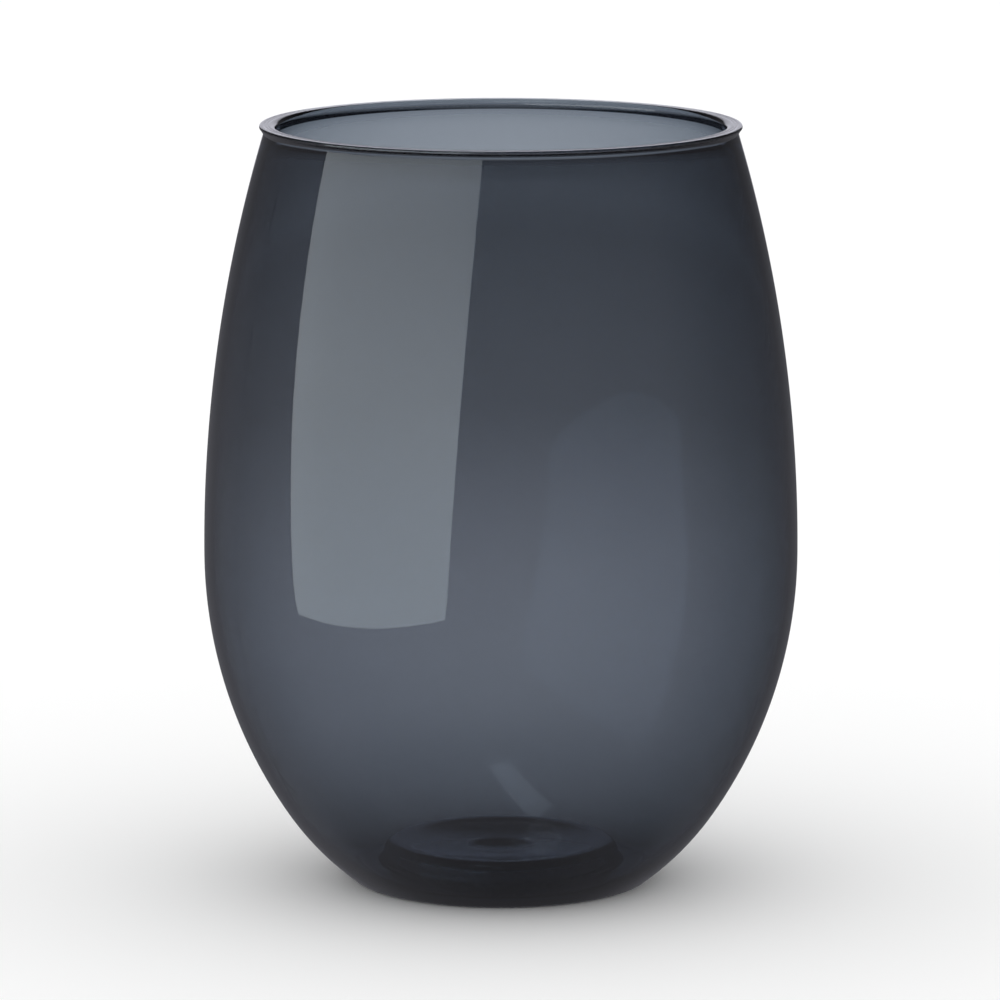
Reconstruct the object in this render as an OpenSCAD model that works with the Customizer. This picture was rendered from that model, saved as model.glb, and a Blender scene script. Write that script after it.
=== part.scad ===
// Stemless wine glass in smoky clear plastic, moulded in one piece.
// The glass is one solid of revolution about the Z axis. It stands on the plane z = 0.
// All lengths are millimetres, all angles are degrees.
//
// The outside is a chain of arcs that meet with a common tangent: a long arc from the rim down to the
// widest ring, the belly's arc below that ring, a tighter arc down to the heel, and the small round of
// the heel. The inside is a second chain of the same kind, drawn from the same sizes less the wall.

/* [Bowl] */
// Height from the table to the top of the rim
height = 115.5; // [108:0.5:122]
// Diameter at the widest ring, outside
belly_d = 90; // [88:0.5:93]
// Height of the widest ring above the table
belly_z = 50.6; // [49:0.2:51.8]
// Diameter of the wall at the top of the rim, outside, without the bead
mouth_d = 70.6; // [67:0.2:75]
// Radius of the belly's arc, below the widest ring, as a share of the one arc that would reach the heel
belly_arc_share = 1.0415; // [1.01:0.0005:1.08]
// Angle that the belly's arc runs through, as a share of the turn of that one arc
belly_turn_share = 0.7188; // [0.66:0.0002:0.78]
// Diameter of the flat ring that the glass stands on
foot_d = 43.6; // [41:0.2:46]
// Radius of the heel, outside, where the wall turns into the foot
heel_round = 1.6; // [1:0.1:2.5]

/* [Wall] */
// Wall thickness at the rim
rim_wall = 1.5; // [1.3:0.1:1.8]
// Wall thickness at the widest ring, where the wall is stretched the most
belly_wall = 1.2; // [1:0.1:1.6]
// Wall thickness just above the heel
heel_wall = 1.5; // [1.2:0.1:2]
// Thickness of the floor over the foot ring
floor_wall = 2; // [1.6:0.1:2.6]
// Radius inside the glass where the wall turns into the floor
inside_round = 3; // [2:0.2:4]
// Thickness of the raised centre of the base
base_wall = 1.6; // [1.2:0.1:1.9]

/* [Rim] */
// How far the bead reaches out past the wall at the top of the rim
bead_out = 1; // [0.7:0.1:1.3]
// Radius of the bead, and of the rounded lip inside it
bead_round = 0.7; // [0.5:0.05:0.85]

/* [Base] */
// Diameter of the raised centre, inside the glass
boss_d = 36; // [32:0.5:38]
// Height of the raised centre above the table, inside the glass
boss_h = 5.7; // [5:0.1:7]
// Radius on the upper edge of the raised centre
boss_round = 2; // [1.9:0.1:2.6]
// Diameter of the wide dish in the top of the raised centre
dish_d = 30; // [24:0.5:31]
// Depth of the dish
dish_h = 1.3; // [0.6:0.1:1.6]
// Radius of the groove where the raised centre meets the floor
gutter_round = 1.4; // [1:0.1:1.8]
// Radius on the inner edge of the foot ring
foot_round = 1.6; // [0.8:0.1:2]

/* [Marks of the mould] */
// Diameter of the shallow dimple in the middle of the dish, inside the glass
dimple_d = 10.4; // [7:0.2:14]
// Depth of the dimple below the middle of the dish
dimple_h = 0.4; // [0.3:0.05:0.6]
// Diameter of the gate mark under the base, where the material entered the mould
gate_d = 4.4; // [3:0.1:8]
// Height of the gate mark
gate_h = 0.35; // [0.2:0.05:0.6]

/* [Hidden] */
// Sides of a drawn circle
$fn = 256;
// How far a cut runs past the face that it opens
overrun = 1;
// How far a disc is pushed past the arc that it follows
hair = 0.002;
// How far a tighter disc runs up past the point where the wider one gives way to it
lap = 1.5;

belly_r = belly_d / 2;
mouth_r = mouth_d / 2;
foot_r = foot_d / 2;
boss_r = boss_d / 2;

// The one arc that would leave the widest ring upright and end on the heel with a common tangent: its
// radius, and the angle that it would run through
heel_across = belly_r - foot_r;
heel_down = belly_z - heel_round;
whole_arc = (heel_across ^ 2 + heel_down ^ 2 - heel_round ^ 2) / (2 * (heel_across - heel_round));
whole_turn = asin(heel_down / (whole_arc - heel_round));
belly_arc = belly_arc_share * whole_arc;
belly_turn = belly_turn_share * whole_turn;

// Radius of the long arc that leaves the widest ring upright and passes the top of the rim
function upper_radius(widest, mouth) =
    ((height - belly_z) ^ 2 + (widest - mouth) ^ 2) / (2 * (widest - mouth));
// Distance from the axis, and height, of the point where the belly's arc gives way to the lower one
function join_r(widest, full) = widest - full * (1 - cos(belly_turn));
function join_z(full) = belly_z - full * sin(belly_turn);
// Radius of a ball's cap with a given half width and height
function cap_radius(half, rise) = (half ^ 2 + rise ^ 2) / (2 * rise);
// Radius of the lower arc: it leaves the belly's arc with a common tangent and ends on the heel with one.
// The heel's centre lies across inward and down from the point where the lower arc starts.
function lower_radius(across, down, heel) =
    (across ^ 2 + down ^ 2 - heel ^ 2)
    / (2 * (across * cos(belly_turn) - down * sin(belly_turn) - heel));

// A rectangle between two distances from the axis and two heights. It is drawn by its corners, so that
// neighbours share the same edge to the last digit.
module cell(from_r, from_z, to_r, to_z) {
    polygon([[from_r, from_z], [to_r, from_z], [to_r, to_z], [from_r, to_z]]);
}

// The part of a disc that lies in such a rectangle
module disc_cell(from_r, from_z, to_r, to_z, centre_r, centre_z, radius) {
    intersection() {
        cell(from_r, from_z, to_r, to_z);
        translate([centre_r, centre_z]) circle(r = radius);
    }
}

// A disc that is moved outward and down, at an angle below level
module pushed_disc(centre_r, centre_z, radius, angle, push) {
    translate([centre_r + push * cos(angle), centre_z - push * sin(angle)]) circle(r = radius);
}

// The rest of such a rectangle, outside the disc
module corner_cell(from_r, from_z, to_r, to_z, centre_r, centre_z, radius) {
    difference() {
        cell(from_r, from_z, to_r, to_z);
        translate([centre_r, centre_z]) circle(r = radius);
    }
}

// Area from the axis out to one chain of arcs, up to top_z, with its heel centred at heel_r and heel_z.
// Each tighter disc is pushed out by a hair and runs a little way up inside the wider one, so that the two
// arcs cross at a slight angle and never just touch.
module bowl_area(widest, mouth, full, heel_r, heel_z, heel, top_z) {
    long = upper_radius(widest, mouth);
    meet_r = join_r(widest, full);
    meet_z = join_z(full);
    low = lower_radius(meet_r - heel_r, meet_z - heel_z, heel);
    low_r = meet_r - low * cos(belly_turn);
    low_z = meet_z + low * sin(belly_turn);
    // Angle below level at which the lower arc gives way to the heel, and the height where it does
    heel_turn = atan2(low_z - heel_z, heel_r - low_r);
    turn_z = heel_z - heel * sin(heel_turn);
    disc_cell(0, belly_z, widest, top_z, widest - long, belly_z, long);
    disc_cell(0, meet_z, widest, belly_z, widest - full, belly_z, full);
    intersection() {
        cell(0, turn_z, widest, meet_z + lap);
        pushed_disc(low_r, low_z, low, belly_turn, hair);
    }
    intersection() {
        cell(heel_r, heel_z - heel, widest, turn_z + lap);
        pushed_disc(heel_r, heel_z, heel, heel_turn, 2 * hair);
    }
    cell(0, heel_z - heel, heel_r, turn_z);
}

// Outside sizes of the lower arc
outer_meet_r = join_r(belly_r, belly_arc);
outer_meet_z = join_z(belly_arc);
outer_low = lower_radius(outer_meet_r - foot_r, outer_meet_z - heel_round, heel_round);
outer_low_r = outer_meet_r - outer_low * cos(belly_turn);
outer_low_z = outer_meet_z + outer_low * sin(belly_turn);

// Inside sizes. The inside heel touches the floor, and lies one wall in from the lower arc outside.
inner_belly = belly_r - belly_wall;
inner_mouth = mouth_r - rim_wall;
inner_heel_z = floor_wall + inside_round;
inner_heel_r = outer_low_r
    + sqrt((outer_low - heel_wall - inside_round) ^ 2 - (outer_low_z - inner_heel_z) ^ 2);
// The lip's arc touches the inside wall from the wall's own side, and its top is the top of the rim
lip_z = height - bead_round;
inner_long = upper_radius(inner_belly, inner_mouth);
lip_rise = asin((lip_z - belly_z) / (inner_long + bead_round));
lip_r = inner_belly - inner_long + (inner_long + bead_round) * cos(lip_rise) - hair;
// Height where the lip's arc leaves the inside wall
wall_top = lip_z - bead_round * sin(lip_rise);
bead_r = mouth_r + bead_out - bead_round;

module outside_area() {
    bowl_area(belly_r, mouth_r, belly_arc, foot_r, heel_round, heel_round, wall_top);
}

// The raised centre of the base, as the inside shows it: a low drum with a rounded edge and a round groove
module boss_area() {
    flat_r = boss_r - boss_round;
    shoulder_z = boss_h - boss_round;
    cell(0, 0, flat_r, boss_h);
    cell(flat_r, 0, boss_r, shoulder_z);
    disc_cell(flat_r, shoulder_z, boss_r, boss_h, flat_r, shoulder_z, boss_round);
    groove_r = boss_r + gutter_round;
    groove_z = floor_wall + gutter_round;
    cell(boss_r, 0, groove_r, floor_wall);
    corner_cell(boss_r, floor_wall, groove_r, groove_z, groove_r, groove_z, gutter_round);
}

// The dish is the cap of a ball that its diameter and depth set. Under the base it bulges by the same ball.
dish_r = dish_d / 2;
dish_ball = cap_radius(dish_r, dish_h);
dish_low = boss_h - dish_h;

// The dimple is the cap of a smaller ball, whose edge lies on the dish. Both balls run on upwards, where the
// glass is open, so that each ends on its own edge.
module hollow_area() {
    disc_cell(0, dish_low, boss_r - boss_round, boss_h + overrun, 0, dish_low + dish_ball, dish_ball);
    dimple_r = dimple_d / 2;
    dimple_low = dish_low - dimple_h;
    edge_z = dish_low + dish_ball - sqrt(dish_ball ^ 2 - dimple_r ^ 2);
    dimple_ball = cap_radius(dimple_r, edge_z - dimple_low);
    disc_cell(0, dimple_low, dish_r, boss_h, 0, dimple_low + dimple_ball, dimple_ball);
}

module inside_area() {
    difference() {
        bowl_area(inner_belly, inner_mouth, belly_arc - belly_wall, inner_heel_r, inner_heel_z, inside_round,
            wall_top);
        boss_area();
    }
    hollow_area();
}

// Rounded lip, flat top and outward bead, whose disc runs into the wall
module rim_area() {
    disc_cell(lip_r - bead_round, lip_z - bead_round, lip_r, height, lip_r, lip_z, bead_round);
    cell(lip_r, wall_top, bead_r, height);
    disc_cell(lip_r, lip_z - bead_round, bead_r + bead_round, height, bead_r, lip_z, bead_round);
}

// The hollow under the base, one thickness below the raised centre, with the gate mark left in it
module recess_area() {
    recess_r = boss_r - base_wall;
    recess_h = boss_h - base_wall;
    gate_r = gate_d / 2;
    recess_round = boss_round - base_wall;
    flat_r = recess_r - recess_round;
    shoulder_z = recess_h - recess_round;
    bulge_low = dish_low - base_wall;
    cell(0, -overrun, gate_r, bulge_low - gate_h);
    cell(gate_r, -overrun, flat_r, bulge_low);
    corner_cell(gate_r, bulge_low, flat_r, recess_h, 0, bulge_low + dish_ball, dish_ball);
    cell(flat_r, -overrun, recess_r, shoulder_z);
    disc_cell(flat_r, shoulder_z, recess_r, recess_h, flat_r, shoulder_z, recess_round);
    edge_r = recess_r + foot_round;
    cell(recess_r, -overrun, edge_r, 0);
    corner_cell(recess_r, 0, edge_r, foot_round, edge_r, foot_round, foot_round);
}

module bowl() color([0.33, 0.36, 0.41, 0.6])
    rotate_extrude() {
        difference() {
            outside_area();
            inside_area();
            recess_area();
        }
        rim_area();
    }

bowl();
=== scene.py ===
# %% [markdown]
# A stemless wine glass in smoky grey plastic, alone on a white table.
# The real one is a single moulded piece: an egg-shaped wall about one and a half millimetres thick, a small
# bead round the rim, and a base whose middle is raised like a low drum. There is nothing to put together,
# so all the work goes into one exact shape, one clear material and the light around it. Clear things have
# hardly any colour of their own: what the eye sees is the room, bent and tinted by the wall.

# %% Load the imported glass
import math

import bmesh
import bpy
from mathutils import Matrix, Vector


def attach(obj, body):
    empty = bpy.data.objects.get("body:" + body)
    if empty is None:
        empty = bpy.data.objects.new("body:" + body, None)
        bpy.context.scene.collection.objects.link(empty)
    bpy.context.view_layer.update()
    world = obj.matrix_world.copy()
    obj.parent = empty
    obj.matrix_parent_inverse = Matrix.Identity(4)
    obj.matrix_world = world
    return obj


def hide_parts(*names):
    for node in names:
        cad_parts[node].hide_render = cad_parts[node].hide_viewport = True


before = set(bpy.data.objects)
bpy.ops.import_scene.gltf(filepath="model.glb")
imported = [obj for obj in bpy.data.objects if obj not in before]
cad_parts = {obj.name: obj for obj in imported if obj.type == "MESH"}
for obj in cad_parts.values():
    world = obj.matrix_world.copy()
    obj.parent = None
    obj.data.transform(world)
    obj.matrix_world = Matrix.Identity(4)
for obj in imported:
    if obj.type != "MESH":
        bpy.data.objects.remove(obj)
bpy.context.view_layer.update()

# %% [markdown]
# The wall is drawn once as a profile, the way a lathe worker or a mould maker would draw it: half of a
# cross-section, made of arcs that flow into each other. The CAD solid has the same profile with a plainer
# rim, but its mesh is made of loose flat triangles, and a flat triangle in a glass wall bends light like a
# facet of a gem. So the profile is drawn again here with fine steps and turned into one smooth closed skin
# that takes the place of the CAD node. All sizes are in millimetres until the finished profile is scaled.
# The wall is thinnest round the belly, where the mould stretched it the most: in the photograph that part
# lets the most light through.

# %% Sizes of the wall
height = 115.5
belly_r, belly_z, mouth_r = 45.0, 50.6, 35.3
foot_r, heel_round = 21.8, 1.6
belly_arc_share, belly_turn_share = 1.0415, 0.7188
rim_wall, belly_wall, heel_wall, floor_wall = 1.5, 1.2, 1.5, 2.0
inside_round = 3.0
print("glass, mm:", 2 * belly_r, "across,", height, "tall,", 2 * mouth_r, "across the mouth")

# %% [markdown]
# Three circles follow each other down the wall. Where two of them meet they share a tangent, so the centre of
# the next circle lies on the line through the meeting point and the centre of the last one. Two known points
# and that rule are enough to work out the radius that is left open. A single arc from the widest ring to the
# heel would be a little too round high up and too flat low down, so the belly's arc is a few per cent wider
# than that one and gives way to a tighter arc after most of the turn.

# %% Work out the arcs of one wall
across_all, down_all = belly_r - foot_r, belly_z - heel_round
whole_arc = (across_all ** 2 + down_all ** 2 - heel_round ** 2) / (2 * (across_all - heel_round))
belly_arc = belly_arc_share * whole_arc
belly_turn = belly_turn_share * math.asin(down_all / (whole_arc - heel_round))
print("belly's arc, mm:", round(belly_arc, 3), "its turn, degrees:", round(math.degrees(belly_turn), 3))


def wall_arcs(widest, mouth, arc, heel_r, heel_z, heel):
    """Centres, radii and turning points of one side of the wall, from the rim down to the heel."""
    rise, lean = height - belly_z, widest - mouth
    long_arc = (rise ** 2 + lean ** 2) / (2 * lean)
    meet = (widest - arc * (1 - math.cos(belly_turn)), belly_z - arc * math.sin(belly_turn))
    across, down = meet[0] - heel_r, meet[1] - heel_z
    low_arc = (across ** 2 + down ** 2 - heel ** 2) / (
        2 * (across * math.cos(belly_turn) - down * math.sin(belly_turn) - heel))
    low = (meet[0] - low_arc * math.cos(belly_turn), meet[1] + low_arc * math.sin(belly_turn))
    heel_turn = math.atan2(low[1] - heel_z, heel_r - low[0])
    return {"long": (widest - long_arc, belly_z), "long_arc": long_arc, "belly": (widest - arc, belly_z),
            "low": low, "low_arc": low_arc, "heel": (heel_r, heel_z), "heel_turn": heel_turn}


outside = wall_arcs(belly_r, mouth_r, belly_arc, foot_r, heel_round, heel_round)
inner_heel_z = floor_wall + inside_round
inner_heel_r = outside["low"][0] + math.sqrt(
    (outside["low_arc"] - heel_wall - inside_round) ** 2 - (outside["low"][1] - inner_heel_z) ** 2)
inside = wall_arcs(belly_r - belly_wall, mouth_r - rim_wall, belly_arc - belly_wall,
                   inner_heel_r, inner_heel_z, inside_round)
for name, wall in (("outside", outside), ("inside", inside)):
    print(name, "long arc, mm:", round(wall["long_arc"], 3), "low arc, mm:", round(wall["low_arc"], 3),
          "turn at the heel, degrees:", round(math.degrees(wall["heel_turn"]), 3))

# %% [markdown]
# The rim is a rolled lip. In the photograph the wall grows darker over the last five millimetres under the
# rim, at the back and at the front, so it is thicker there: the inside leans in on a tighter arc before it
# turns over. The lip's round touches that arc from the wall's own side. Two circles that touch from outside
# are the sum of their radii apart, and that rule gives the radius of the roll. Outside, the lip ends in a
# thin flange that reaches as far as the solid's bead, and its top carries two hair-fine rings, which show as
# lines at both ends of the rim.

# %% Work out the rim
roll_z, lip_r, lip_round = 110.8, 34.65, 0.9
bead_out, flange_round, flange_low = 1.0, 0.3, 114.2
flange_r = mouth_r + bead_out - flange_round
lip_z = height - lip_round
roll_rise = math.asin((roll_z - belly_z) / inside["long_arc"])
out = Vector((math.cos(roll_rise), math.sin(roll_rise)))
roll_start = Vector(inside["long"]) + inside["long_arc"] * out
to_lip = Vector((lip_r, lip_z)) - roll_start
roll_arc = (to_lip.length_squared - lip_round ** 2) / (2 * (lip_round - to_lip.dot(out)))
roll = roll_start - roll_arc * out
roll_end = math.atan2(lip_z - roll.y, lip_r - roll.x)
flange_low_r = outside["long"][0] + math.sqrt(outside["long_arc"] ** 2 - (flange_low - belly_z) ** 2)
print("roll, mm:", round(roll_arc, 2), "flange meets the wall at, mm:", round(flange_low_r, 3))


# %% [markdown]
# A pen draws the profile. It knows two moves. A straight move extrudes its last vertex, and a curved move
# spins that vertex about the centre of the arc, which leaves a chain of edges behind. Angles are measured
# from the outward direction, positive upwards, and the pen always takes the shorter way round.

# %% The pen that draws with extrude and spin
class Pen:
    """Draws a chain of edges in the plane of the cross-section."""

    def __init__(self, mesh, r, z):
        self.mesh = mesh
        self.tip = mesh.verts.new((r, 0, z))

    def line(self, r, z, parts=1):
        start = self.tip.co.copy()
        for part in range(1, parts + 1):
            self.tip = bmesh.ops.extrude_vert_indiv(self.mesh, verts=[self.tip])["verts"][0]
            self.tip.co = start.lerp(Vector((r, 0, z)), part / parts)

    def arc(self, centre, end_angle, steps):
        start_angle = math.atan2(self.tip.co.z - centre[1], self.tip.co.x - centre[0])
        turn = (end_angle - start_angle + math.pi) % math.tau - math.pi
        made = bmesh.ops.spin(
            self.mesh, geom=[self.tip], cent=(centre[0], 0, centre[1]), axis=(0, 1, 0), dvec=(0, 0, 0),
            angle=-turn, steps=steps, use_merge=False, use_normal_flip=False, use_duplicate=False)
        self.tip = next(v for v in made["geom_last"] if isinstance(v, bmesh.types.BMVert))


# %% [markdown]
# The pen starts in the middle of the base, on top, and walks up the inside, over the rim, down the outside
# and back under the base to the axis. The steps are chosen so that the chain turns by only a few degrees at
# a time: an edge is between one and two millimetres long on the wall, and a tenth of that round the lip.
# The raised middle of the base is a drum with a wide dish in its top and a dimple in the dish. Both are
# caps of balls, so each ball's radius follows from the width and the depth of its cap.

# %% Draw the inside, from the middle of the base up to the lip
boss_r, boss_h, boss_round, gutter_round = 18.0, 5.7, 2.0, 1.4
dish_r, dish_h, dimple_r, dimple_h = 15.0, 1.3, 5.2, 0.4
skin = bmesh.new()
dish_ball = (dish_r ** 2 + dish_h ** 2) / (2 * dish_h)
dish_centre_z = boss_h - dish_h + dish_ball
edge_z = dish_centre_z - math.sqrt(dish_ball ** 2 - dimple_r ** 2)
dimple_low = boss_h - dish_h - dimple_h
dimple_ball = (dimple_r ** 2 + (edge_z - dimple_low) ** 2) / (2 * (edge_z - dimple_low))
pen = Pen(skin, 0, dimple_low)
pen.arc((0, dimple_low + dimple_ball), math.atan2(edge_z - dimple_low - dimple_ball, dimple_r), 10)
pen.arc((0, dish_centre_z), math.atan2(boss_h - dish_centre_z, dish_r), 14)
pen.line(boss_r - boss_round, boss_h)
pen.arc((boss_r - boss_round, boss_h - boss_round), 0, 10)
pen.line(boss_r, floor_wall + gutter_round)
pen.arc((boss_r + gutter_round, floor_wall + gutter_round), -math.pi / 2, 8)
pen.line(inner_heel_r, floor_wall, 2)
pen.arc(inside["heel"], -inside["heel_turn"], 7)
pen.arc(inside["low"], -belly_turn, 12)
pen.arc(inside["belly"], 0, 34)
pen.arc(inside["long"], roll_rise, 44)
pen.arc(roll, roll_end, 8)
pen.arc((lip_r, lip_z), math.pi / 2, 12)
print("inside vertices:", len(skin.verts), "top of the lip, mm:", round(pen.tip.co.z, 3))

# %% Draw the rings and the flange of the rim
ring_half, ring_depth = 0.06, 0.05
flange_turn = math.radians(-60)
for ring_r in (34.95, 35.4):
    pen.line(ring_r, height)
    pen.line(ring_r + ring_half, height - ring_depth)
    pen.line(ring_r + 2 * ring_half, height)
pen.line(flange_r, height)
pen.arc((flange_r, height - flange_round), flange_turn, 8)
pen.line(flange_low_r, flange_low, 2)
print("flange reaches out to, mm:", round(flange_r + flange_round, 2))

# %% [markdown]
# Under the drum the base is hollow, one thickness below the top, so that the plastic cools evenly. The glass
# stands on the flat ring that is left around this recess. In its middle a small round mark is left by the
# gate, the hole through which the plastic was pressed into the mould.

# %% Draw the outside and the underside
base_wall, foot_round, gate_r, gate_h = 1.6, 1.6, 2.2, 0.35
pen.arc(outside["long"], 0, 44)
pen.arc(outside["belly"], -belly_turn, 34)
pen.arc(outside["low"], -outside["heel_turn"], 12)
pen.arc(outside["heel"], -math.pi / 2, 6)
recess_r, recess_h, recess_round = boss_r - base_wall, boss_h - base_wall, boss_round - base_wall
pen.line(recess_r + foot_round, 0, 2)
pen.arc((recess_r + foot_round, foot_round), math.pi, 6)
pen.line(recess_r, recess_h - recess_round)
pen.arc((recess_r - recess_round, recess_h - recess_round), math.pi / 2, 5)
pen.line(dish_r, recess_h)
bulge_centre_z = dish_centre_z - base_wall
pen.arc((0, bulge_centre_z), math.atan2(-math.sqrt(dish_ball ** 2 - gate_r ** 2), gate_r), 14)
gate_low = bulge_centre_z - dish_ball - gate_h
pen.line(gate_r, gate_low)
pen.line(0, gate_low, 2)
print("profile vertices:", len(skin.verts))

# %% [markdown]
# A full spin about the Z axis turns the profile into the skin. The two ends of the profile lie on the axis,
# where every copy lands on the same spot, so the doubles are merged into two poles. Only then are the
# normals worked out, and the volume of the mesh says whether they point outwards. Three hundred steps keep
# the round smooth in the clear wall and the mesh just small enough for the library.

# %% Spin the profile into a closed skin
MM = 0.001
bmesh.ops.scale(skin, vec=(MM, MM, MM), verts=skin.verts)
bmesh.ops.spin(skin, geom=skin.verts[:] + skin.edges[:], cent=(0, 0, 0), axis=(0, 0, 1), dvec=(0, 0, 0),
               angle=math.tau, steps=300, use_merge=True, use_normal_flip=False, use_duplicate=False)
bmesh.ops.remove_doubles(skin, verts=skin.verts, dist=1e-7)
bmesh.ops.recalc_face_normals(skin, faces=skin.faces)
open_edges = sum(not edge.is_manifold for edge in skin.edges)
print("open edges:", open_edges, "volume, ml:", round(skin.calc_volume() * 1e6, 2))

# %% [markdown]
# The two halves of the mould leave a parting line, a hair-thin raised seam that runs up both sides of the
# wall. In the photograph it shows left of the middle as a fine dark line, because its slopes throw the light
# aside. One plane through the axis holds both seams, so cutting the skin along that plane and a little to
# each side gives the edges that the seam needs, and the middle row is then pushed out by two hundredths of
# a millimetre. Only the outside has a seam, from just above the foot to just below the rim.

# %% Raise the parting line
seam_angle = math.radians(28.7)
seam_side = Vector((-math.sin(seam_angle), math.cos(seam_angle), 0))
seam_half, seam_height = 0.14 * MM, 0.02 * MM
seam_low, seam_high, seam_inner_r = 3 * MM, 113.5 * MM, 22 * MM
for offset in (-2 * seam_half, -seam_half, 0, seam_half, 2 * seam_half):
    bmesh.ops.bisect_plane(skin, geom=skin.verts[:] + skin.edges[:] + skin.faces[:], dist=1e-8,
                           plane_co=seam_side * offset, plane_no=seam_side)
bmesh.ops.remove_doubles(skin, verts=skin.verts, dist=2e-7)
ridge = [v for v in skin.verts if abs(v.co.dot(seam_side)) < 1e-7 and seam_low < v.co.z < seam_high
         and v.normal.xy.dot(v.co.xy) > 0 and v.co.xy.length > seam_inner_r]
for v in ridge:
    v.co.xy += v.co.xy.normalized() * seam_height
print("seam vertices:", len(ridge), "open edges:", sum(not edge.is_manifold for edge in skin.edges))

# %% [markdown]
# The mesh becomes an object. Smooth shading lets light bend as if the wall were truly round, and edges that
# turn by more than forty degrees, such as the rim of the gate mark, stay crisp.

# %% Make the glass an object
glass_data = bpy.data.meshes.new("wine_glass")
skin.to_mesh(glass_data)
skin.free()
for face in glass_data.polygons:
    face.use_smooth = True
glass_data.set_sharp_from_angle(angle=math.radians(40))
glass = bpy.data.objects.new("wine_glass", glass_data)
bpy.context.scene.collection.objects.link(glass)
triangles = sum(len(face.vertices) - 2 for face in glass_data.polygons)
print("triangles:", triangles)

# %% [markdown]
# Smoky plastic is clear plastic with a little dye in it. The dye works through the depth: light that crosses
# two millimetres of wall comes out darker than light that crosses one, which is why the edges of the glass,
# where the eye looks along the wall, are nearly black. A tint on the surface could not do that, so the
# surface stays colourless and a Volume Absorption inside it carries the dye. Its colour is close to white
# and its density is high: together they swallow, in each millimetre, 1.0 of a natural unit of red light,
# 0.91 of green and 0.8 of blue, and what is left is a cool grey.

# %% The smoky plastic
dye_colour, dye_density = (0.9, 0.909, 0.92), 10000
smoke = bpy.data.materials.new("smoky_plastic")
smoke.use_nodes = True
nodes, links = smoke.node_tree.nodes, smoke.node_tree.links
surface = nodes["Principled BSDF"]
surface.inputs["Base Color"].default_value = (1, 1, 1, 1)
surface.inputs["Transmission Weight"].default_value = 1
surface.inputs["IOR"].default_value = 1.57
dye = nodes.new("ShaderNodeVolumeAbsorption")
dye.inputs["Color"].default_value = (*dye_colour, 1)
dye.inputs["Density"].default_value = dye_density
links.new(dye.outputs["Volume"], nodes["Material Output"].inputs["Volume"])
print("swallowed in a millimetre:", [round(dye_density * MM * (1 - part), 2) for part in dye_colour])

# %% [markdown]
# A moulded surface is polished, but never perfect. The steel of the mould leaves very slight waves a
# centimetre or two across, and handling leaves a faint haze in patches. Both are far too weak to see
# straight on and only make the edge of a reflection tremble a little.

# %% Waves and haze on the surface
place = nodes.new("ShaderNodeTexCoord")
haze = nodes.new("ShaderNodeTexNoise")
haze.inputs["Scale"].default_value = 90
haze.inputs["Detail"].default_value = 4
haze_range = nodes.new("ShaderNodeMapRange")
haze_range.inputs["From Min"].default_value = 0.35
haze_range.inputs["From Max"].default_value = 0.75
haze_range.inputs["To Min"].default_value = 0.0
haze_range.inputs["To Max"].default_value = 0.03
waves = nodes.new("ShaderNodeTexNoise")
waves.inputs["Scale"].default_value = 60
waves.inputs["Detail"].default_value = 1
wave_bump = nodes.new("ShaderNodeBump")
wave_bump.inputs["Strength"].default_value = 1
wave_bump.inputs["Distance"].default_value = 0.00001
links.new(place.outputs["Object"], haze.inputs["Vector"])
links.new(haze.outputs["Fac"], haze_range.inputs["Value"])
links.new(haze_range.outputs["Result"], surface.inputs["Roughness"])
links.new(place.outputs["Object"], waves.inputs["Vector"])
links.new(waves.outputs["Fac"], wave_bump.inputs["Height"])
links.new(wave_bump.outputs["Normal"], surface.inputs["Normal"])
glass_data.materials.append(smoke)
print("nodes of the plastic:", len(nodes))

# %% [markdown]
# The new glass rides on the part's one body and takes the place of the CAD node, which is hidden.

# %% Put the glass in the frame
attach(glass, "root")
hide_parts("bowl")

# %% [markdown]
# Two small helpers serve the table and the room. A colour ramp gets its stops from a list, each a place and
# a brightness. The light path of a ray tells how often it crossed a face (Transmission Depth, four for two
# walls) and how often it was thrown back (Glossy Depth). A switch compares such a count with a number half a
# step below the one that it asks for, and turns to one from there on.

# %% Helpers for the light
FOUR_FACES, ONE_BOUNCE = 3.5, 0.5


def steps_of(ramp, steps):
    """Gives a colour ramp its stops, each a place and a brightness."""
    for spot, _ in steps[1:-1]:
        ramp.elements.new(spot)
    for stop, (spot, bright) in zip(ramp.elements, steps):
        stop.position = spot
        stop.color = (bright, bright, bright, 1)


def switch_at(tree, kind, count):
    """A switch that is one for rays whose count of this kind is past the number, and nought for others."""
    ray = tree.nodes.new("ShaderNodeLightPath")
    switch = tree.nodes.new("ShaderNodeMath")
    switch.operation = "GREATER_THAN"
    switch.inputs[1].default_value = count
    tree.links.new(ray.outputs[kind], switch.inputs[0])
    return switch.outputs["Value"]


# %% [markdown]
# The table is a plain white plane, a tenth of a millimetre under the foot so that the two faces do not
# fight. It is large enough to fill the picture, and it keeps the shadow of the glass. To the camera, and
# through one wall, it is white. Through both walls its colour carries a painted pool of light: it is dimmer,
# brightest close behind the glass and fading with distance, standing in for a lamp that hangs over the
# glass: in the photograph the lower half of the wall is lit by it and the upper half is not, until the
# pale backdrop begins. A ray that was thrown back does not meet the table: it sees the room of the studio
# below, which holds the table's reflected brightness as well.

# %% The white table
table_half, table_gap = 6, 0.1 * MM
floor_mesh = bmesh.new()
bmesh.ops.create_grid(floor_mesh, x_segments=1, y_segments=1, size=table_half)
bmesh.ops.translate(floor_mesh, verts=floor_mesh.verts, vec=(0, 0, -table_gap))
floor_data = bpy.data.meshes.new("table")
floor_mesh.to_mesh(floor_data)
floor_mesh.free()
table = bpy.data.objects.new("table", floor_data)
bpy.context.scene.collection.objects.link(table)
print("table, m:", 2 * table_half, "square")
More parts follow.
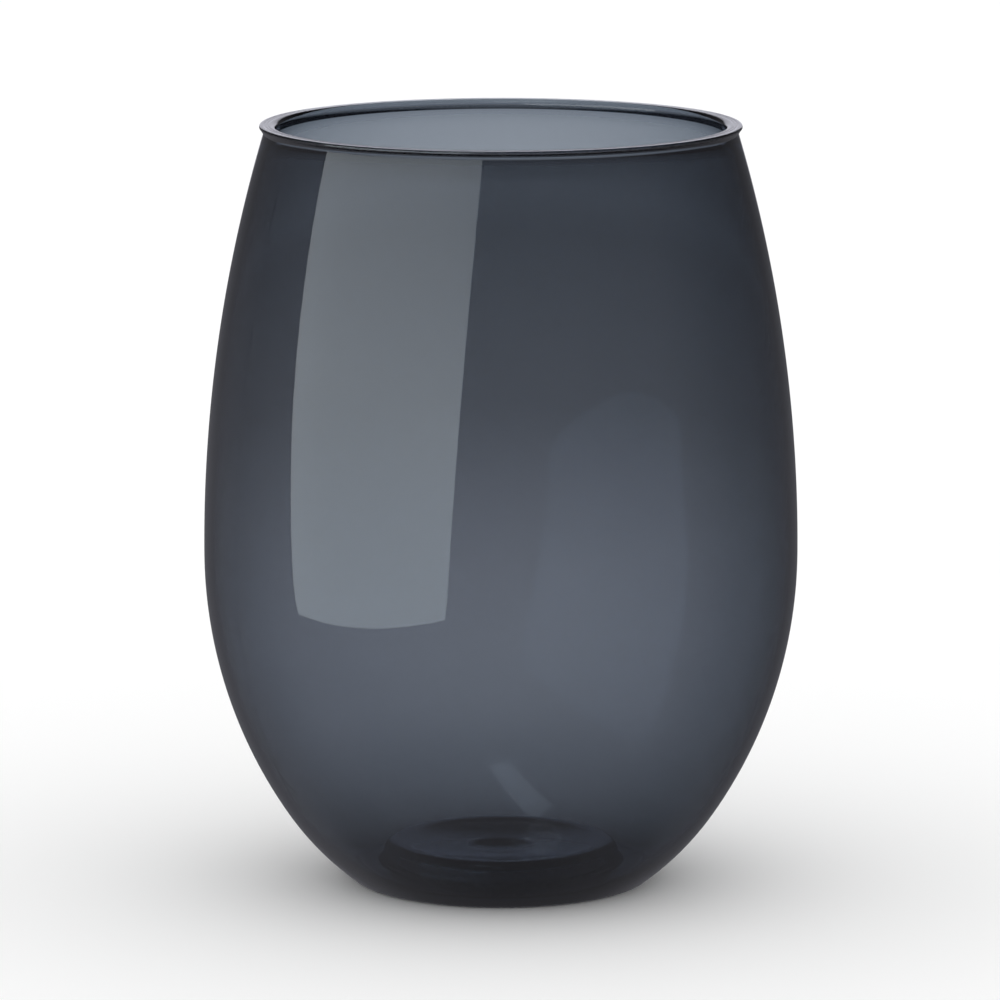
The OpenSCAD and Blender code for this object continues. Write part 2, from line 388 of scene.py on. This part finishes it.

# %% The table's white and its painted pool of light, for each kind of ray
paint = bpy.data.materials.new("white_table")
paint.use_nodes = True
table_nodes, table_links = paint.node_tree.nodes, paint.node_tree.links
matt = table_nodes["Principled BSDF"]
matt.inputs["Roughness"].default_value = 1
matt.inputs["Specular IOR Level"].default_value = 0
table_place = table_nodes.new("ShaderNodeTexCoord")
centred = table_nodes.new("ShaderNodeMapping")
centred.inputs["Location"].default_value = (0.04, -0.14, 0)
# Painted pool of light: through both walls the table's colour is brightest behind the glass and fades with
# distance.
painted_pool_fade = table_nodes.new("ShaderNodeTexGradient")
painted_pool_fade.gradient_type = "SPHERICAL"
painted_light_pool = table_nodes.new("ShaderNodeValToRGB")
steps_of(painted_light_pool.color_ramp, (
    (0, 0.45), (0.12, 0.5), (0.2, 0.52), (0.32, 0.38), (0.5, 0.38), (0.66, 0.36), (0.76, 0.5),
    (0.85, 0.64), (0.97, 0.82)))
# Plain white for the camera and through one wall, the painted pool of light through both walls.
white_or_painted_pool = table_nodes.new("ShaderNodeMix")
white_or_painted_pool.inputs["A"].default_value = 0.955
table_links.new(table_place.outputs["Object"], centred.inputs["Vector"])
table_links.new(centred.outputs["Vector"], painted_pool_fade.inputs["Vector"])
table_links.new(painted_pool_fade.outputs["Fac"], painted_light_pool.inputs["Fac"])
table_links.new(switch_at(paint.node_tree, "Transmission Depth", FOUR_FACES), white_or_painted_pool.inputs["Factor"])
table_links.new(painted_light_pool.outputs["Color"], white_or_painted_pool.inputs["B"])
table_links.new(white_or_painted_pool.outputs["Result"], matt.inputs["Base Color"])
let_by = table_nodes.new("ShaderNodeBsdfTransparent")
either = table_nodes.new("ShaderNodeMixShader")
table_links.new(switch_at(paint.node_tree, "Glossy Depth", ONE_BOUNCE), either.inputs["Fac"])
table_links.new(matt.outputs["BSDF"], either.inputs[1])
table_links.new(let_by.outputs["BSDF"], either.inputs[2])
table_links.new(either.outputs["Shader"], table_nodes["Material Output"].inputs["Surface"])
floor_data.materials.append(paint)
print("nodes of the table:", len(table_nodes))

# %% [markdown]
# A large soft light stands at the left of the camera and leans over the glass. It is a sheet of white cloth
# lit from behind, so it is modelled as a sheet that glows. Only the tall window that it throws on the wall
# matters here: its four edges in the photograph, followed back off the wall, give its place and its lean.
# The sheet is drawn as if the spot that mirrors it were the origin. It is turned about the upright there and
# then moved to that spot. It shows in the glass alone, and neither lights the table nor casts a shadow.

# %% The soft light's sheet
light_half, light_low, light_high = 0.35, -0.183, 0.30
light_away, light_lean, light_turn = 0.467, 0.425, math.radians(180 - 53.4)
mirror_spot = (-0.017, -0.037, 0.06)


def only_in_the_glass(sheet):
    """Hides a lit sheet from the camera, the table and the shadows."""
    sheet.visible_camera = False
    sheet.visible_diffuse = False
    sheet.visible_shadow = False


light_mesh = bmesh.new()
bmesh.ops.create_grid(light_mesh, x_segments=1, y_segments=1, size=1)
for corner in light_mesh.verts:
    rise = light_low if corner.co.y < 0 else light_high
    corner.co = Vector((corner.co.x * light_half, light_away - light_lean * rise, rise))
bmesh.ops.rotate(light_mesh, verts=light_mesh.verts, cent=(0, 0, 0),
                 matrix=Matrix.Rotation(light_turn, 3, "Z"))
bmesh.ops.translate(light_mesh, verts=light_mesh.verts, vec=mirror_spot)
light_data = bpy.data.meshes.new("soft_light")
light_mesh.to_mesh(light_data)
light_mesh.free()
soft_light = bpy.data.objects.new("soft_light", light_data)
bpy.context.scene.collection.objects.link(soft_light)
only_in_the_glass(soft_light)
print("soft light corners:", [[round(c, 3) for c in v.co] for v in light_data.vertices])

# %% [markdown]
# The cloth glows in a slightly cool white. In the photograph the window is dimmer towards its top, as when
# the lamp behind the cloth hangs low, so a Map Range turns the height of a point into its share of light.

# %% The lit cloth
glow = bpy.data.materials.new("lit_cloth")
glow.use_nodes = True
cloth_nodes, cloth_links = glow.node_tree.nodes, glow.node_tree.links
cloth_nodes.remove(cloth_nodes["Principled BSDF"])
cloth = cloth_nodes.new("ShaderNodeEmission")
cloth.inputs["Strength"].default_value = 2.6
sheet_place = cloth_nodes.new("ShaderNodeTexCoord")
sheet_height = cloth_nodes.new("ShaderNodeSeparateXYZ")
sheet_fade = cloth_nodes.new("ShaderNodeMapRange")
sheet_fade.inputs["From Min"].default_value = 0.12
sheet_fade.inputs["From Max"].default_value = 0.36
sheet_fade.inputs["To Min"].default_value = 1
sheet_fade.inputs["To Max"].default_value = 0.58
cool_white = cloth_nodes.new("ShaderNodeVectorMath")
cool_white.operation = "SCALE"
cool_white.inputs["Vector"].default_value = (0.93, 1, 1.06)
cloth_links.new(sheet_place.outputs["Object"], sheet_height.inputs["Vector"])
cloth_links.new(sheet_height.outputs["Z"], sheet_fade.inputs["Value"])
cloth_links.new(sheet_fade.outputs["Result"], cool_white.inputs["Scale"])
cloth_links.new(cool_white.outputs["Vector"], cloth.inputs["Color"])
cloth_links.new(cloth.outputs["Emission"], cloth_nodes["Material Output"].inputs["Surface"])
light_data.materials.append(glow)
print("nodes of the cloth:", len(cloth_nodes))

# %% [markdown]
# A narrow strip of the same cloth hangs over the glass. Its light comes in through the mouth, and the hollow
# of the wall above the base throws it forward as the small curved patch right of the middle.

# %% The strip overhead
strip_half_length, strip_half_width, strip_turn = 0.33, 0.09, math.radians(116)
strip_spot = (-0.129, -0.266, 1)
strip_mesh = bmesh.new()
bmesh.ops.create_grid(strip_mesh, x_segments=1, y_segments=1, size=1)
bmesh.ops.scale(strip_mesh, vec=(strip_half_length, strip_half_width, 1), verts=strip_mesh.verts)
bmesh.ops.rotate(strip_mesh, verts=strip_mesh.verts, cent=(0, 0, 0),
                 matrix=Matrix.Rotation(strip_turn, 3, "Z"))
bmesh.ops.translate(strip_mesh, verts=strip_mesh.verts, vec=strip_spot)
strip_data = bpy.data.meshes.new("top_strip")
strip_mesh.to_mesh(strip_data)
strip_mesh.free()
strip_data.materials.append(glow)
top_strip = bpy.data.objects.new("top_strip", strip_data)
bpy.context.scene.collection.objects.link(top_strip)
only_in_the_glass(top_strip)
print("strip, m:", 2 * strip_half_length, "by", 2 * strip_half_width)

# %% [markdown]
# Glass is photographed against a bright background in a room that is otherwise dark. So the world is white
# for the camera and through one wall, as in the mouth of the glass, and dimmer for light that has come
# through two. A ray that was thrown back by a surface sees the room: a bright table in front of the glass,
# a grey room behind the camera, dim corners to the sides and darkness behind, all slightly blue. It was
# read off the photograph: at each spot of the wall the reflection points in a known direction, so its
# brightness there says how bright the room is in that direction. One ramp gives the brightness by height,
# from straight down to straight up, another by side, from behind the glass to the camera's side, and the
# two are multiplied.

# %% The room that reflections see
world = bpy.data.worlds.new("studio")
bpy.context.scene.world = world
world.use_nodes = True
sky_nodes, sky_links = world.node_tree.nodes, world.node_tree.links
sky = sky_nodes["Background"]
sky.inputs["Color"].default_value = (1, 1, 1, 1)
direction = sky_nodes.new("ShaderNodeTexCoord")
split = sky_nodes.new("ShaderNodeSeparateXYZ")
sky_links.new(direction.outputs["Generated"], split.inputs["Vector"])
level_up = sky_nodes.new("ShaderNodeMapRange")
level_up.inputs["From Min"].default_value = -1
by_height = sky_nodes.new("ShaderNodeValToRGB")
steps_of(by_height.color_ramp, (
    (0, 0.3), (0.05, 0.46), (0.12, 0.56), (0.21, 0.87), (0.33, 1), (0.43, 1), (0.535, 0.62),
    (0.64, 0.42), (0.75, 0.25), (1, 0.2)))
towards = sky_nodes.new("ShaderNodeVectorMath")
towards.operation = "DOT_PRODUCT"
towards.inputs[1].default_value = (-0.14, -0.99, 0)
side_on = sky_nodes.new("ShaderNodeMapRange")
side_on.inputs["From Min"].default_value = -1
by_side = sky_nodes.new("ShaderNodeValToRGB")
steps_of(by_side.color_ramp, (
    (0, 0.11), (0.12, 0.17), (0.33, 0.38), (0.5, 0.64), (0.6, 0.83), (0.9, 1), (1, 1)))
room = sky_nodes.new("ShaderNodeMath")
room.operation = "MULTIPLY"
sky_links.new(split.outputs["Z"], level_up.inputs["Value"])
sky_links.new(level_up.outputs["Result"], by_height.inputs["Fac"])
sky_links.new(direction.outputs["Generated"], towards.inputs[0])
sky_links.new(towards.outputs["Value"], side_on.inputs["Value"])
sky_links.new(side_on.outputs["Result"], by_side.inputs["Fac"])
sky_links.new(by_height.outputs["Color"], room.inputs[0])
sky_links.new(by_side.outputs["Color"], room.inputs[1])
print("stops by height:", len(by_height.color_ramp.elements), "by side:", len(by_side.color_ramp.elements))

# %% [markdown]
# A glancing reflection hardly turns the ray, so it shows the white backdrop straight behind the glass. It
# draws the fine light line on the flat of the rim and brings out the rings in the raised base.

# %% The backdrop in glancing reflections
away = sky_nodes.new("ShaderNodeVectorMath")
away.operation = "DOT_PRODUCT"
away.inputs[1].default_value = (0, 0.99, 0.139)
glancing = sky_nodes.new("ShaderNodeMapRange")
glancing.inputs["From Min"].default_value = 0.955
glancing.inputs["From Max"].default_value = 0.98
glancing.inputs["To Max"].default_value = 0.8
reflected = sky_nodes.new("ShaderNodeMath")
reflected.operation = "MAXIMUM"
sky_links.new(direction.outputs["Generated"], away.inputs[0])
sky_links.new(away.outputs["Value"], glancing.inputs["Value"])
sky_links.new(glancing.outputs["Result"], reflected.inputs[0])
sky_links.new(room.outputs["Value"], reflected.inputs[1])

# %% [markdown]
# The backdrop is white up to the horizon and dims above it, towards a dark ceiling. Through both walls it
# keeps two fifths of its brightness: a switch of one times minus 0.6 takes the rest away.

# %% The backdrop and the ceiling
backdrop = sky_nodes.new("ShaderNodeValToRGB")
steps_of(backdrop.color_ramp, ((0, 1), (0.5, 1), (0.53, 0.85), (0.57, 0.65), (0.65, 0.4), (1, 0.1)))
dimmer = sky_nodes.new("ShaderNodeMath")
dimmer.operation = "MULTIPLY"
dimmer.inputs[1].default_value = -0.6
straight = sky_nodes.new("ShaderNodeMath")
straight.operation = "MULTIPLY_ADD"
sky_links.new(level_up.outputs["Result"], backdrop.inputs["Fac"])
sky_links.new(switch_at(world.node_tree, "Transmission Depth", FOUR_FACES), dimmer.inputs[0])
sky_links.new(dimmer.outputs["Value"], straight.inputs[0])
sky_links.new(backdrop.outputs["Color"], straight.inputs[1])
sky_links.new(backdrop.outputs["Color"], straight.inputs[2])
print("stops of the backdrop:", len(backdrop.color_ramp.elements))

# %% [markdown]
# Four kinds of ray ask the world for light. A ray that was thrown back gets the room, with its touch of
# blue, and one that came straight through gets the backdrop. Light for the matt table comes from an even
# sky a little brighter than white, and the camera itself sees plain white behind the glass.

# %% Give each kind of ray its light
path = sky_nodes.new("ShaderNodeLightPath")
thrown_back = switch_at(world.node_tree, "Glossy Depth", ONE_BOUNCE)
seen = sky_nodes.new("ShaderNodeMix")
lit = sky_nodes.new("ShaderNodeMix")
lit.inputs["B"].default_value = 1.1
level = sky_nodes.new("ShaderNodeMix")
level.inputs["B"].default_value = 1
sky_links.new(thrown_back, seen.inputs["Factor"])
sky_links.new(straight.outputs["Value"], seen.inputs["A"])
sky_links.new(reflected.outputs["Value"], seen.inputs["B"])
sky_links.new(path.outputs["Is Diffuse Ray"], lit.inputs["Factor"])
sky_links.new(seen.outputs["Result"], lit.inputs["A"])
sky_links.new(path.outputs["Is Camera Ray"], level.inputs["Factor"])
sky_links.new(lit.outputs["Result"], level.inputs["A"])
sky_links.new(level.outputs["Result"], sky.inputs["Strength"])

# %% The touch of blue in the room
# The colour sockets of a Mix share their names with its plain ones, so they are picked by their place.
colour_a, colour_b, colour_out = 6, 7, 2
tint = sky_nodes.new("ShaderNodeMix")
tint.data_type = "RGBA"
tint.inputs[colour_a].default_value = (1, 1, 1, 1)
tint.inputs[colour_b].default_value = (0.98, 0.98, 1.1, 1)
sky_links.new(thrown_back, tint.inputs["Factor"])
sky_links.new(tint.outputs[colour_out], sky.inputs["Color"])
print("nodes of the world:", len(sky_nodes))

# %% [markdown]
# The camera stands where the photographer's stood, about a metre away and a little above the rim. Its place
# and its pitch were worked out from the outline of the glass and the ellipse of the rim: the flatter that
# ellipse, the lower the eye. Standard view keeps white at white, as in the photograph.

# %% The camera
camera_away, camera_height, looks_down = 0.985, 0.2266, 9.703
camera_data = bpy.data.cameras.new("camera")
camera_data.lens = 237.24
camera_data.sensor_width = 36
camera_data.shift_x = -0.0009
camera_data.clip_start, camera_data.clip_end = 0.05, 50
camera = bpy.data.objects.new("camera", camera_data)
camera.location = (0, -camera_away, camera_height)
camera.rotation_euler = (math.radians(90 - looks_down), 0, 0)
bpy.context.scene.collection.objects.link(camera)
bpy.context.scene.camera = camera
bpy.context.scene.view_settings.view_transform = "Standard"
print("camera, m:", [round(v, 4) for v in camera.location], "looks down, degrees:", looks_down)
